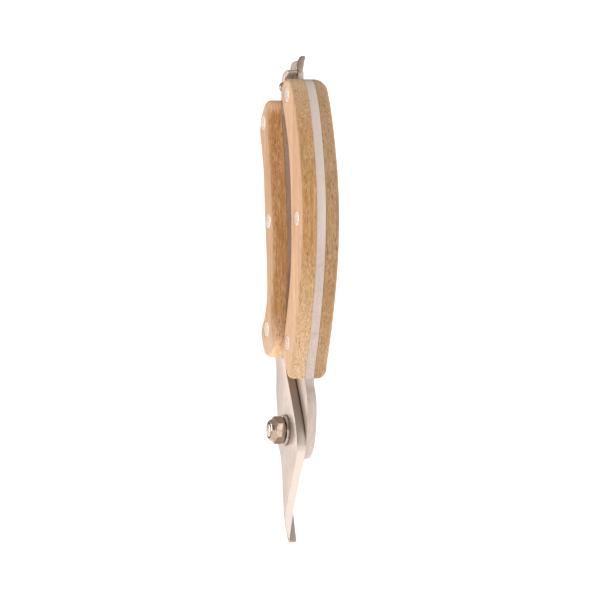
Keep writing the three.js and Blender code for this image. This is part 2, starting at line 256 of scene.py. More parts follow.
def wood(name, offset, side_painted_light, face_painted_light, painted_pale_parts=()):
    """Open-grained pale hardwood with its grain along Z; its faces are paler than its sides,
    partly from the grain's cut and partly as painted light.

    Each of the painted pale parts, painted light as if brightly lit, is (height
    where the wood starts to pale, height where it has, how pale it gets).
    """
    n = Surface(name)
    place = n.stretched(n.place, (1, 1, 1), offset)

    def grained(across, along, thick=1):
        return n.stretched(place, (across, across * thick, along))

    rings = n.wave(grained(1, 0.05, 0.6), RING_SCALE, 5.0, 3, 1.4)
    drift = n.noise(grained(1, 0.10), DRIFT_SCALE, 3, 0.6)
    streak = n.noise(grained(1, 0.02), STREAK_SCALE, 4, 0.65)
    fibre = n.noise(grained(1, 0.035), FIBRE_SCALE, 3, 0.7)
    flecks = n.noise(grained(1, 0.12), FLECK_SCALE, 2, 0.6)
    pores = n.noise(grained(1, 0.11), PORE_SCALE, 1, 0.5)
    pits = n.noise(grained(1, 0.10), PIT_SCALE, 1, 0.5)

    # broad soft bands first, then narrower streaks and single fibres
    normal = n.split(n.source("Normal"))
    facing = n.span(n.math("ABSOLUTE", normal[1]), 0.35, 0.95, 0, 1)
    end = n.span(n.math("ABSOLUTE", normal[2]), 0.18, 0.75, 0, 0.75)
    light = n.mix(facing, EDGE_LIGHT, FACE_LIGHT)
    warm = n.mix(facing, EDGE_WARM, FACE_WARM)
    deep = n.mix(facing, EDGE_DEEP, FACE_DEEP)
    late = n.span(rings, 0.45, 1.0, 0, 1)
    tone = n.mix(n.span(drift, 0.30, 0.70, 0, 1), light, warm)
    tone = n.mix(n.math("MULTIPLY", late, LATE_WOOD), tone, deep)
    tone = n.mix(n.span(streak, 0.44, 0.68, 0, STREAKS), tone, deep)
    # painted light: ends that face up or down are painted paler, and so are the painted pale
    # parts, less on the faces than on the sides
    painted_paling = end
    on_side = n.span(facing, 0, 1, 1, FACE_PAINTED_PALING)
    for start, stop, amount in painted_pale_parts:
        part = n.span(n.split(n.place)[2], start, stop, 0, amount)
        painted_paling = n.math("MAXIMUM", painted_paling, n.math("MULTIPLY", part, on_side))
    tone = n.mix(painted_paling, tone, PAINTED_PALE_LIGHT)
    tone = n.mix(n.span(fibre, 0.46, 0.68, 0, FIBRES), tone, deep)
    fleck = n.span(flecks, 0.30, 0.46, FLECKS, 0)
    tone = n.mix(fleck, tone, shaded(FACE_LIGHT, 1.1))

    # pores crowd into the early wood between the rings, and are fewer on the faces
    early = n.span(rings, 0.2, 0.9, 1, 0.45)
    crowd = n.math("MULTIPLY", early, n.span(facing, 0, 1, 1, FACE_PORES))
    fine = n.span(pores, 0.56, 0.65, 0, 0.8)
    coarse = n.span(pits, 0.64, 0.70, 0, 1)
    pore = n.math("MULTIPLY", n.math("MAXIMUM", fine, coarse), crowd)
    tone = n.mix(n.math("MULTIPLY", pore, PORES), tone, PORE)

    # painted light: each scale's sides and faces are brightened or darkened to stand for how it is
    # lit
    painted_light = n.mix(facing, (side_painted_light,) * 3, (face_painted_light,) * 3)
    n.give("Base Color", n.mix(1.0, tone, painted_light, "MULTIPLY"))
    n.give("Roughness", n.span(n.noise(grained(1, 0.1), 300, 2), 0.3, 0.7, 0.50, 0.66))
    n.give("Specular IOR Level", 0.30)
    furrows = n.bump(fibre, 0.25, 0.05 * MM)
    n.give("Normal", n.bump(n.math("SUBTRACT", 1.0, pore), 0.5, 0.10 * MM, furrows))
    return n.material


# ---- metals ----------------------------------------------------------------------

# painted light on the steel: painted shade and painted highlights on the plates' +X edges, and
# painted shade in the seam between the plates
PLATE_SHADE = (0.34, 0.27, 0.21)
PLATE_HIGHLIGHT = (0.98, 0.88, 0.80)
SEAM_SHADE = (0.05, 0.035, 0.028)
SEAM_SHADE_FROM = PIVOT.y - 1.1 * MM  # painted shade in the seam where the plates meet
SEAM_SHADE_FULL = PIVOT.y - 0.45 * MM
FADE_SHARE = 0.1  # how fast a part of an edge ends, beside how long it is
GRAIN_ALONG = {"X": (0.03, 1, 1), "Y": (1, 0.03, 1), "Z": (1, 1, 0.03)}


def painted_edge_light(n, tone, parts):
    """Paints shade and highlights on the edges that face +X between some heights, with painted
    shade in the seam at the joint.

    Each part is (height where it starts, height where it is full, height where
    it ends, the painted colour it takes, how much of it, how much painted seam shade).
    """
    facing = n.span(n.split(n.source("Normal"))[0], 0.15, 0.7, 0, 1)
    height = n.split(n.place)[2]
    seam = n.span(n.split(n.place)[1], SEAM_SHADE_FROM, SEAM_SHADE_FULL, 0, 1)
    for start, full, stop, colour, amount, shade_at_seam in parts:
        rise = n.math("POWER", n.span(height, start, full, 0, 1), 0.5)
        fall = n.span(height, stop, stop + (stop - full) * FADE_SHARE, 1, 0)
        part = n.math("MULTIPLY", n.math("MULTIPLY", rise, fall), facing)
        tone = n.mix(n.math("MULTIPLY", part, amount), tone, colour)
        at_seam = n.math("MULTIPLY", part, seam)
        tone = n.mix(n.math("MULTIPLY", at_seam, shade_at_seam), tone, SEAM_SHADE)
    return tone


LINE_SCALE = 2600
BAND_SCALE = 800
CLOUD_SCALE = 75
STAIN_SCALE = 330
SPECK_SCALE = 1700


def brushed(name, colour, roughness, along="Z", wear=1.0, metallic=1.0, edges=()):
    """Satin-ground steel: fine grinding lines one way, faint stains over them."""
    n = Surface(name)
    ground = n.stretched(n.place, GRAIN_ALONG[along])
    lines = n.noise(ground, LINE_SCALE, 3, 0.65)
    wide = n.noise(ground, BAND_SCALE, 3, 0.6)
    cloud = n.noise(n.place, CLOUD_SCALE, 4, 0.62)
    stains = n.noise(n.place, STAIN_SCALE, 3, 0.6)
    specks = n.noise(n.place, SPECK_SCALE, 2, 0.5)

    tone = n.mix(n.span(lines, 0.35, 0.65, 0, 1), shaded(colour, 0.86), shaded(colour, 1.08))
    tone = n.mix(n.span(wide, 0.42, 0.72, 0, 0.5), tone, shaded(colour, 0.80))
    warm = (colour[0] * 0.88, colour[1] * 0.80, colour[2] * 0.73)
    tone = n.mix(n.span(cloud, 0.45, 0.72, 0, 0.55 * wear), tone, warm)
    tone = n.mix(n.span(stains, 0.60, 0.74, 0, 0.45 * wear), tone, shaded(warm, 0.72))
    tone = n.mix(n.span(specks, 0.68, 0.78, 0, 0.5 * wear), tone, shaded(colour, 0.5))
    # painted shade and painted highlights on the +X edges, and painted shade in the plates' seam
    if edges:
        tone = painted_edge_light(n, tone, edges)
    n.give("Base Color", tone)
    n.give("Metallic", metallic)
    smear = n.span(cloud, 0.35, 0.7, roughness * 0.85, roughness * 1.3)
    n.give("Roughness", n.math("ADD", smear, n.span(lines, 0.3, 0.7, -0.04, 0.05)))
    n.give("Normal", n.bump(lines, 0.22, 0.02 * MM, n.bump(wide, 0.12, 0.05 * MM)))
    return n.material


def plated(name, colour, roughness, patch=0.55):
    """Bright plated steel with darker patches, a thin haze and small dents."""
    n = Surface(name)
    haze = n.noise(n.place, 240, 4, 0.6)
    patches = n.noise(n.place, 520, 3, 0.6, 0.6)
    dents = n.noise(n.place, 1500, 2, 0.5)
    tone = n.mix(n.span(haze, 0.4, 0.7, 0, 1), colour, shaded(colour, 0.82))
    tone = n.mix(n.span(patches, 0.50, 0.66, 0, patch), tone, shaded(colour, 0.42))
    n.give("Base Color", tone)
    n.give("Metallic", 1)
    n.give("Roughness", n.span(haze, 0.3, 0.7, roughness * 0.7, roughness * 1.6))
    n.give("Normal", n.bump(dents, 0.25, 0.03 * MM, n.bump(patches, 0.25, 0.06 * MM)))
    return n.material


def nylon(name, colour):
    n = Surface(name)
    grain = n.noise(n.place, 1800, 2)
    cloud = n.noise(n.place, 500, 2)
    n.give("Base Color", n.mix(cloud, colour, shaded(colour, 0.7)))
    n.give("Roughness", n.span(cloud, 0.3, 0.7, 0.4, 0.55))
    n.give("Normal", n.bump(grain, 0.15, 0.03 * MM))
    return n.material


# where the scales' wood is painted pale as if lit, and where the plates' edges take painted shade
# and highlights
PALM_PAINTED_PALE = [(0.125, 0.07, 0.6), (0.183, 0.189, 0.4)]
PALM_BACK_PAINTED_PALE = [(0.08, 0.19, 0.35)]
FINGER_PAINTED_PALE = [(0.096, 0.080, 1.0), (0.1755, 0.1785, 0.7)]
# blade: painted shade on its +X edge from just below the pivot up into the handle, with painted
# shade in the seam; a painted highlight on its spine below the pivot
BLADE_EDGE_LIGHT = [
    (PIVOT.z - 6 * MM, PIVOT.z + 12 * MM, 0.11, PLATE_SHADE, 0.72, 0.9),
    (PIVOT.z - 6 * MM, PIVOT.z - 9 * MM, -0.01, PLATE_HIGHLIGHT, 0.62, 0),
]
# hook: painted shade on its +X edge near the tip; a painted highlight on the tang's +X edge higher
# up
HOOK_EDGE_LIGHT = [
    (0.017, 0.009, -0.01, PLATE_SHADE, 0.6, 0),
    (0.12, 0.20, 0.3, PLATE_HIGHLIGHT, 0.6, 0),
]

# wood: name, which part of the grain, painted light on its sides and faces, painted pale parts
# metal: name, colour, roughness
MATERIALS = {
    "palm_front": wood("palm_front_wood", (0.031, 0.008, 0.11), 1.12, 1.17, PALM_PAINTED_PALE),
    "palm_back": wood("palm_back_wood", (0.27, 0.141, 0.63), 0.87, 0.95, PALM_BACK_PAINTED_PALE),
    "finger_front": wood("finger_front_wood", (0.147, 0.322, 0.71), 1.34, 1.02, FINGER_PAINTED_PALE),
    "finger_back": wood("finger_back_wood", (0.513, 0.402, 0.05), 1.0, 0.95),
    "hook": brushed("hook_steel", (0.71, 0.595, 0.54), 0.5, metallic=0.12, edges=HOOK_EDGE_LIGHT),
    "blade": brushed("blade_steel", (0.60, 0.505, 0.46), 0.34, metallic=0.5, edges=BLADE_EDGE_LIGHT),
    "pin": brushed("pin_metal", (0.64, 0.545, 0.47), 0.36, "X", wear=0.25, metallic=0.6),
    "catch": brushed("catch_steel", (0.60, 0.52, 0.46), 0.28, wear=1.3, metallic=0.4),
    # painted shade: the thumb tab and the catch rivet take a darker copy of the catch's steel
    "tab": brushed("catch_tab_steel", (0.45, 0.355, 0.29), 0.25, wear=1.5, metallic=0.55),
    "nut": plated("nut_steel", (0.54, 0.42, 0.335), 0.12),
    "bolt": plated("bolt_steel", (0.72, 0.62, 0.54), 0.15, 0.45),
    "washer": plated("washer_steel", (0.66, 0.56, 0.48), 0.2, 0.35),
    "spring": brushed("spring_steel", (0.55, 0.50, 0.46), 0.3, "Y", wear=0.6),
    "nylon": nylon("insert_nylon", (0.10, 0.105, 0.12)),
}


# ---- mesh helpers ----------------------------------------------------------------


def link_piece(name, mesh, material, body, *nodes, slot):
    mesh.materials.clear()
    mesh.materials.append(MATERIALS[material])
    piece = bpy.data.objects.new(name, mesh)
    bpy.context.scene.collection.objects.link(piece)
    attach(piece, body)
    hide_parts(*nodes)
    return piece


def mesh_of(bm, name, sharp=35):
    """The mesh of a bmesh, smooth apart from its sharp edges."""
    bmesh.ops.remove_doubles(bm, verts=bm.verts, dist=0.001 * MM)
    bmesh.ops.triangulate(bm, faces=[f for f in bm.faces if len(f.verts) > 4])
    bmesh.ops.recalc_face_normals(bm, faces=bm.faces)
    bm.normal_update()
    for face in bm.faces:
        face.smooth = True
    for edge in bm.edges:
        edge.smooth = len(edge.link_faces) == 2 and edge.calc_face_angle(0) < math.radians(sharp)
    mesh = bpy.data.meshes.new(name)
    bm.to_mesh(mesh)
    bm.free()
    return mesh


def shaded_again(mesh, name, sharp):
    """The mesh with its smooth and sharp edges worked out afresh."""
    bm = bmesh.new()
    bm.from_mesh(mesh)
    return mesh_of(bm, name, sharp)


def cad_mesh(node):
    """A bmesh of a CAD piece, with its triangles joined at their corners."""
    bm = bmesh.new()
    bm.from_mesh(frame["nodes"][node].data)
    bmesh.ops.remove_doubles(bm, verts=bm.verts, dist=0.002 * MM)
    bm.normal_update()
    return bm


def join_flats(bm):
    """Makes one face of the triangles that lie in one plane."""
    bmesh.ops.dissolve_limit(
        bm,
        angle_limit=math.radians(0.5),
        verts=bm.verts,
        edges=bm.edges,
        delimit=set(),
    )


def bevel(bm, ease, steps, corner, clamp):
    """Rounds each edge of a bmesh that is sharper than that corner, in degrees."""
    bm.normal_update()
    sharp = [e for e in bm.edges if e.is_manifold and e.calc_face_angle() > math.radians(corner)]
    bmesh.ops.bevel(
        bm,
        geom=sharp,
        offset=ease,
        offset_type="OFFSET",
        segments=steps,
        profile=0.5,
        affect="EDGES",
        clamp_overlap=clamp,
    )


def bridge(bm, rings, closed=False):
    """Joins a list of vertex rings into a skin; a ring of one vertex is a tip."""
    pairs = list(zip(rings, rings[1:]))
    if closed:
        pairs.append((rings[-1], rings[0]))
    for low, high in pairs:
        count = max(len(low), len(high))
        for i in range(count):
            j = (i + 1) % count
            if len(low) == 1:
                bm.faces.new((low[0], high[i], high[j]))
            elif len(high) == 1:
                bm.faces.new((low[i], high[0], low[j]))
            else:
                bm.faces.new((low[i], high[i], high[j], low[j]))


def round_skin(profile, centre, facets=64):
    """A bmesh turned round Y; its profile is [(radius, y), ...] in metres."""
    bm = bmesh.new()
    rings = []
    for radius, y in profile:
        steps = facets if radius > 0 else 1
        ring = []
        for i in range(steps):
            angle = 2 * math.pi * i / facets
            side = radius * math.cos(angle)
            rise = radius * math.sin(angle)
            ring.append(bm.verts.new((centre.x + side, y, centre.z + rise)))
        rings.append(ring)
    bridge(bm, rings, closed=profile[0][0] > 0)
    return bm


def carved(mesh, cutter_mesh, name):
    """The mesh with another closed mesh cut out of it."""
    body = bpy.data.objects.new(name, mesh)
    tool = bpy.data.objects.new(name + "_tool", cutter_mesh)
    for item in (body, tool):
        bpy.context.scene.collection.objects.link(item)
    cut = body.modifiers.new("cut", "BOOLEAN")
    cut.operation = "DIFFERENCE"
    cut.solver = "EXACT"
    cut.object = tool
    depsgraph = bpy.context.evaluated_depsgraph_get()
    result = bpy.data.meshes.new_from_object(body.evaluated_get(depsgraph))
    for item in (body, tool):
        bpy.data.objects.remove(item)
    return result


# ---- handle scales ---------------------------------------------------------------

STATIONS = 120
ARC_STEPS = 7
FACE_STEPS = 8
SIDE_STEPS = 3
CROWN = 0.12 * MM  # how far the middle of a face stands above its edges
CROWNED_WIDTH = 8 * MM  # narrower sections are crowned less
HOLE_ROOM = 0.10 * MM
HOLE_REACH = 3.5 * MM  # outline edges nearer a pin's axis belong to its hole
DRILL_PAST = 2 * MM
END_INSET = 0.02 * MM
END_REACH = 60 * MM  # how far from its ends a scale's edges grow rounder
CROWDED_SHARE = 0.7  # stations stand closer together at the ends
EVEN_SHARE = 0.3
SCALE_SHARP = 38

# how round the edges are halfway along a scale, and at its ends
SCALE_EDGES = {
    ("palm", "front"): (0.8 * MM, 1.6 * MM),
    ("palm", "back"): (1.0 * MM, 4.4 * MM),
    ("finger", "front"): (0.8 * MM, 2.3 * MM),
    ("finger", "back"): (1.0 * MM, 3.4 * MM),
}


def outline_of(node, outer_y):
    """The (x, z) edges of a scale's outline, from the CAD piece's outer face."""
    bm = cad_mesh(node)
    centres = [middle(pin) for pin in frame["nodes"] if "_pin_" in pin]
    edges = []
    for edge in bm.edges:
        on_face = all(abs(v.co.y - outer_y) < 0.01 * MM for v in edge.verts)
        walls = [f for f in edge.link_faces if abs(f.normal.y) < 0.5]
        if not on_face or len(walls) != 1:
            continue
        at = (edge.verts[0].co + edge.verts[1].co) / 2
        if min(math.hypot(at.x - c.x, at.z - c.z) for c in centres) < HOLE_REACH:
            continue
        edges.append([(v.co.x, v.co.z) for v in edge.verts])
    bm.free()
    return edges


def width_at(edges, z):
    """Where a level line crosses the outline: its lowest and highest x."""
    crossings = []
    for (x0, z0), (x1, z1) in edges:
        if (z0 - z) * (z1 - z) <= 0 and z0 != z1:
            crossings.append(x0 + (x1 - x0) * (z - z0) / (z1 - z0))
    return min(crossings), max(crossings)


def scale_section(low_x, high_x, depth, soft):
    """Points [x, depth] round a scale's section, from its flat back round its face."""
    width = high_x - low_x
    soft = min(soft, width * 0.48, depth * 0.9)
    points = []
    for i in range(SIDE_STEPS):
        points.append((low_x, (depth - soft) * i / SIDE_STEPS))
    for i in range(ARC_STEPS + 1):
        turn = math.pi / 2 * i / ARC_STEPS
        points.append((low_x + soft * (1 - math.cos(turn)), depth - soft * (1 - math.sin(turn))))
    for i in range(1, FACE_STEPS):
        points.append((low_x + soft + (width - 2 * soft) * i / FACE_STEPS, depth))
    for i in range(ARC_STEPS + 1):
        turn = math.pi / 2 * (1 - i / ARC_STEPS)
        points.append((high_x - soft * (1 - math.cos(turn)), depth - soft * (1 - math.sin(turn))))
    for i in range(SIDE_STEPS):
        points.append((high_x, (depth - soft) * (1 - (i + 1) / SIDE_STEPS)))
    crown = CROWN * min(1, width / CROWNED_WIDTH)
    middle_x = (low_x + high_x) / 2
    shaped = []
    for x, reach in points:
        across = (x - middle_x) / (width / 2)
        lift = crown * across * across * reach / depth
        shaped.append((x, reach - lift))
    return shaped


def scale_skin(edges, inner_y, outer_y, soft_middle, soft_end):
    """A scale's closed skin: a section at each station along its length."""
    levels = [z for edge in edges for _, z in edge]
    bottom, top = min(levels), max(levels)
    out = 1 if outer_y > inner_y else -1
    thick = abs(outer_y - inner_y)
    bm = bmesh.new()
    rings = []
    for i in range(STATIONS + 1):
        share = 0.5 - 0.5 * math.cos(math.pi * i / STATIONS)
        share = CROWDED_SHARE * share + EVEN_SHARE * i / STATIONS
        z = bottom + END_INSET + (top - bottom - 2 * END_INSET) * share
        from_end = min(z - bottom, top - z)
        rounder = max(0.0, 1 - from_end / END_REACH) ** 1.5
        soft = soft_middle + (soft_end - soft_middle) * rounder
        depth = thick
        if from_end < soft:
            depth -= soft * (1 - math.sqrt(1 - (1 - from_end / soft) ** 2))
        low_x, high_x = width_at(edges, z)
        section = scale_section(low_x, high_x, depth, soft)
        rings.append([bm.verts.new((x, inner_y + out * reach, z)) for x, reach in section])
    bridge(bm, rings)
    bm.faces.new(rings[0])
    bm.faces.new(rings[-1])
    return bm


def handle_scale(handle, side, soft_middle, soft_end):
    node = f"{handle}_scale_{side}"
    low, high = corners(node)
    inner_y, outer_y = (high.y, low.y) if side == "front" else (low.y, high.y)
    edges = outline_of(node, outer_y)
    mesh = mesh_of(scale_skin(edges, inner_y, outer_y, soft_middle, soft_end), node)
    for place in PIN_PLACES:
        pin = f"{handle}_pin_{place}"
        pin_low, pin_high = corners(pin)
        radius = (pin_high.x - pin_low.x) / 2 + HOLE_ROOM
        ends = (low.y - DRILL_PAST, high.y + DRILL_PAST)
        profile = [(0, ends[0]), (radius, ends[0]), (radius, ends[1]), (0, ends[1])]
        drill = mesh_of(round_skin(profile, middle(pin)), "drill")
        mesh = carved(mesh, drill, node)
    mesh = shaded_again(mesh, node, SCALE_SHARP)
    link_piece(node + "_wood", mesh, f"{handle}_{side}", HALVES[handle], node, slot="wood")


def add_scales():
    for (handle, side), (soft_middle, soft_end) in SCALE_EDGES.items():
        handle_scale(handle, side, soft_middle, soft_end)


# ---- flat steel pieces -----------------------------------------------------------


PLATE_CORNER = 60
HOOK_EASE = 0.3 * MM
BLADE_EASE = 0.45 * MM
MANY_CORNERS = 8
FILL_EPSILON = 1e-5


def refill(bm):
    """Fills the large flat faces with triangles, even where an outline meets itself."""
    bm.normal_update()
    flats = [f for f in bm.faces if len(f.verts) > MANY_CORNERS and abs(f.normal.y) > 0.95]
    for face in flats:
        rim = list(face.verts)
        up = face.normal.y > 0
        if up:
            rim.reverse()
        y = rim[0].co.y
        flat = [Vector((v.co.x, v.co.z)) / MM for v in rim]
        loop = [range(len(rim))]
        filled = delaunay_2d_cdt(flat, [], loop, 1, FILL_EPSILON)
        spots, _, triangles, sources = filled[:4]
        verts = []
        for spot, source in zip(spots, sources):
            own = rim[source[0]] if source else bm.verts.new((spot.x * MM, y, spot.y * MM))
            verts.append(own)
        bmesh.ops.delete(bm, geom=[face], context="FACES_ONLY")
        for triangle in triangles:
            bm.faces.new([verts[i] for i in (reversed(triangle) if up else triangle)])


def eased_plate(node, ease, steps, sharp):
    """The CAD plate's own shape with its edges eased."""
    bm = cad_mesh(node)
    join_flats(bm)
    bevel(bm, ease, steps, PLATE_CORNER, clamp=False)
    refill(bm)
    return mesh_of(bm, node, sharp)


def add_plates():
    hook = eased_plate("hook_plate", HOOK_EASE, 3, 25)
    link_piece("hook_plate_steel", hook, "hook", PALM_HALF, "hook_plate", slot="steel")
    blade = eased_plate("blade_plate", BLADE_EASE, 4, 12)
    link_piece("blade_plate_steel", blade, "blade", FINGER_HALF, "blade_plate", slot="steel")


# ---- pins ------------------------------------------------------------------------

PIN_EASE = 0.3 * MM
PIN_END = [(0, 0), (0.4, 0.01), (0.7, 0.04), (0.9, 0.11), (1, 0.3)]  # shares of radius, ease


def pin_profile(radius, low_y, high_y):
    """A pin's profile from one gently domed end to the other."""
    front = [(radius * share, low_y + PIN_EASE * sink) for share, sink in PIN_END]
    back = [(radius * share, high_y - PIN_EASE * sink) for share, sink in reversed(PIN_END)]
    return front + back


def add_pins():
    for handle, body in HALVES.items():
        for place in PIN_PLACES:
            node = f"{handle}_pin_{place}"
            low, high = corners(node)
            profile = pin_profile((high.x - low.x) / 2, low.y, high.y)
            mesh = mesh_of(round_skin(profile, middle(node)), node)
            link_piece(node + "_metal", mesh, "pin", body, node, slot="pin_metal")


# ---- pivot hardware --------------------------------------------------------------

BOLT_RADIUS = 2.95 * MM
THREAD_PITCH = 1.0 * MM
THREAD_DEPTH = 0.5 * MM
THREAD_START = 0.25 * MM
THREAD_LENGTH = 7.5 * MM
THREAD_FADE = 0.8 * MM  # how far from the tip it has its full depth
THREAD_FACETS = 48
THREAD_STEPS = 56
TIP_TAPER = 0.25 * MM
HEAD_HEIGHT = 3.3 * MM
HEAD_RIM = 0.5 * MM
HEAD_EASE = 0.2 * MM
HEAD_TURN = math.radians(72)
HEAD_STEPS = 10
SOCKET_RADIUS = 2.3 * MM
SOCKET_DEPTH = 2.0 * MM
SOCKET_CHAMFER = 0.15 * MM
BOLT_SHARP = 42

WASHER_EASE = 0.3 * MM

NUT_CORNER = 5.72 * MM
NUT_HEX = 4.1 * MM  # height of the hexagon; the rest is the collar
NUT_CHAMFER = math.radians(30)
NUT_FACE = 4.8 * MM  # radius of the flat ring inside the chamfers
COLLAR_RADIUS = 4.45 * MM
COLLAR_ROUND = 1.15 * MM
BORE = 3.05 * MM
NUT_FACETS = 144
LIP_ROOM = 0.05 * MM
LIP_DEPTH = 2.2 * MM  # how far down the nylon ring's seat goes
INSERT_ROOM = 0.08 * MM
INSERT_EASE = 0.12 * MM


def quarter(radius, y, turn_in, steps=8):
    """A rounded edge from a side of that radius to an end face in the -Y direction."""
    points = []
    for i in range(steps + 1):
        turn = math.pi / 2 * i / steps
        points.append((
            radius - turn_in * (1 - math.cos(turn)),
            y + turn_in * (1 - math.sin(turn)),
        ))
    return points


def add_washer():
    low, high = corners("pivot_washer")
    radius = (high.x - low.x) / 2
    ease = WASHER_EASE
    profile = [
        (BORE + ease, high.y),
        (radius - ease, high.y),
        (radius - ease * 0.3, high.y - ease * 0.3),
        (radius, high.y - ease),
    ]
    profile += quarter(radius, low.y, ease * 1.4, 5)
    profile += [(BORE + ease, low.y), (BORE, low.y + ease), (BORE, high.y - ease)]
    mesh = mesh_of(round_skin(profile, PIVOT, 96), "pivot_washer", 50)
    link_piece("pivot_washer_ring", mesh, "washer", PALM_HALF, "pivot_washer", slot="plated_steel")


def nut_ring(bm, y, radius_at):
    """A ring round the bolt; its y is a number, or given by the radius."""
    ring = []
    for i in range(NUT_FACETS):
        angle = 2 * math.pi * i / NUT_FACETS
        radius = radius_at(angle)
        reach = y(radius) if callable(y) else y
        place = (PIVOT.x + radius * math.cos(angle), reach, PIVOT.z + radius * math.sin(angle))
        ring.append(bm.verts.new(place))
    return ring


def add_nut():
    """A locking nut: a hexagon chamfered at both ends, and a rounded collar."""
    low, high = corners("pivot_nut")
    flat = (high.x - low.x) / 2  # from the axis to a side of the hexagon
    hex_end = high.y - NUT_HEX

    def hexagon(angle):
        around = (angle + math.pi / 6) % (math.pi / 3) - math.pi / 6
        return min(flat / math.cos(around), NUT_CORNER)

    slope = math.tan(NUT_CHAMFER)
    bm = bmesh.new()
    rings = [
        nut_ring(bm, high.y - 0.5 * MM, lambda a: BORE),
        nut_ring(bm, high.y, lambda a: BORE + 0.4 * MM),
        nut_ring(bm, high.y, lambda a: NUT_FACE),
        nut_ring(bm, lambda r: high.y - (r - NUT_FACE) * slope, hexagon),
        nut_ring(bm, lambda r: hex_end + (r - NUT_FACE) * slope, hexagon),
        nut_ring(bm, hex_end, lambda a: NUT_FACE - 0.1 * MM),
        nut_ring(bm, hex_end - 0.05 * MM, lambda a: COLLAR_RADIUS + 0.25 * MM),
        nut_ring(bm, hex_end - 0.3 * MM, lambda a: COLLAR_RADIUS),
    ]
    for radius, y in quarter(COLLAR_RADIUS, low.y, COLLAR_ROUND):
        rings.append(nut_ring(bm, y, lambda a, r=radius: r))
    lip = COLLAR_RADIUS - COLLAR_ROUND - LIP_ROOM
    rings.append(nut_ring(bm, low.y + 0.15 * MM, lambda a: lip))
    rings.append(nut_ring(bm, low.y + LIP_DEPTH, lambda a: lip))
    rings.append(nut_ring(bm, low.y + LIP_DEPTH, lambda a: BORE))
    bridge(bm, rings, closed=True)
    mesh = mesh_of(bm, "pivot_nut", 20)
    link_piece("pivot_nut_body", mesh, "nut", PALM_HALF, "pivot_nut", slot="plated_steel")


def add_insert():
    low, high = corners("nut_insert")
    outer = COLLAR_RADIUS - COLLAR_ROUND - INSERT_ROOM
    ease = INSERT_EASE
    profile = [(BORE, high.y), (outer, high.y), (outer, low.y + ease), (outer - ease, low.y)]
    profile += [(BORE + ease, low.y), (BORE, low.y + ease)]
    mesh = mesh_of(round_skin(profile, PIVOT), "nut_insert")
    link_piece("nut_insert_ring", mesh, "nylon", PALM_HALF, "nut_insert", slot="nylon")


def bolt_ring(bm, y, radius, facets=THREAD_FACETS):
    """A ring round the bolt; its radius is a number, or given by angle and y."""
    ring = []
    for i in range(facets):
        angle = 2 * math.pi * i / facets
        reach = radius(angle, y) if callable(radius) else radius
        side, rise = reach * math.cos(angle), reach * math.sin(angle)
        ring.append(bm.verts.new((PIVOT.x + side, y, PIVOT.z + rise)))
    return ring


def bolt_skin(low, high):
    head_y = high.y - HEAD_HEIGHT
    head_radius = (high.z - low.z) / 2
    bm = bmesh.new()

    def threaded(angle, y):
        phase = (y / THREAD_PITCH + angle / (2 * math.pi)) % 1
        fade = min(1, (y - low.y) / THREAD_FADE)
        return BOLT_RADIUS - THREAD_DEPTH * abs(2 * phase - 1) * fade - TIP_TAPER * (1 - fade)

    rings = [
        bolt_ring(bm, low.y, BOLT_RADIUS - 0.9 * MM),
        bolt_ring(bm, low.y + 0.04 * MM, BOLT_RADIUS - 0.6 * MM),
    ]
    thread_end = low.y + THREAD_LENGTH
    for i in range(THREAD_STEPS + 1):
        along = (thread_end - low.y - THREAD_START) * i / THREAD_STEPS
        rings.append(bolt_ring(bm, low.y + THREAD_START + along, threaded))
    rings.append(bolt_ring(bm, thread_end + 0.3 * MM, BOLT_RADIUS))
    rings.append(bolt_ring(bm, head_y - 0.25 * MM, BOLT_RADIUS))
    rings.append(bolt_ring(bm, head_y, BOLT_RADIUS + 0.25 * MM))
    rings.append(bolt_ring(bm, head_y, head_radius - HEAD_EASE))
    rings.append(bolt_ring(bm, head_y + HEAD_EASE, head_radius))
    for i in range(1, HEAD_STEPS + 1):
        turn = HEAD_TURN * i / HEAD_STEPS
        share = math.sin(turn) / math.sin(HEAD_TURN)
        y = head_y + HEAD_RIM + (HEAD_HEIGHT - HEAD_RIM) * share
        rings.append(bolt_ring(bm, y, head_radius * math.cos(turn) ** 0.55))
    bridge(bm, rings)
    bm.faces.new(rings[0])
    bm.faces.new(rings[-1])
    return bm


def socket_skin(end_y):
    """The hexagon that is cut out of the bolt's head."""
    bm = bmesh.new()
    walls = []
    for y, radius in (
        (end_y + 1 * MM, SOCKET_RADIUS + SOCKET_CHAMFER),
        (end_y, SOCKET_RADIUS + SOCKET_CHAMFER),
        (end_y - 0.2 * MM, SOCKET_RADIUS),
        (end_y - SOCKET_DEPTH, SOCKET_RADIUS),
    ):
        walls.append(bolt_ring(bm, y, radius, facets=6))
    bridge(bm, walls)
    bm.faces.new(walls[0])
    bm.faces.new(walls[-1])
    return bm


def add_bolt():
    """A button-head bolt: domed head behind, a thread at the nut's end."""
    low, high = corners("pivot_bolt")
    body = mesh_of(bolt_skin(low, high), "pivot_bolt")
    mesh = carved(body, mesh_of(socket_skin(high.y), "socket"), "pivot_bolt")
    mesh = shaded_again(mesh, "pivot_bolt", BOLT_SHARP)
    link_piece("pivot_bolt_body", mesh, "bolt", PALM_HALF, "pivot_bolt", slot="plated_steel")


# ---- the torsion spring ----------------------------------------------------------

SPRING_WIRE = 0.4 * MM
SPRING_RADIUS = 4.9 * MM
SPRING_TURNS = 2
LEG_ANGLE = 60  # degrees round the bolt where the free leg stands up
LEG_OUT = 4.5 * MM
LEG_STEPS = 6
END_STEPS = 4
COIL_STEPS = 120
COIL_ROOM = 0.06 * MM  # between one turn and the next
WIRE_FACETS = 14


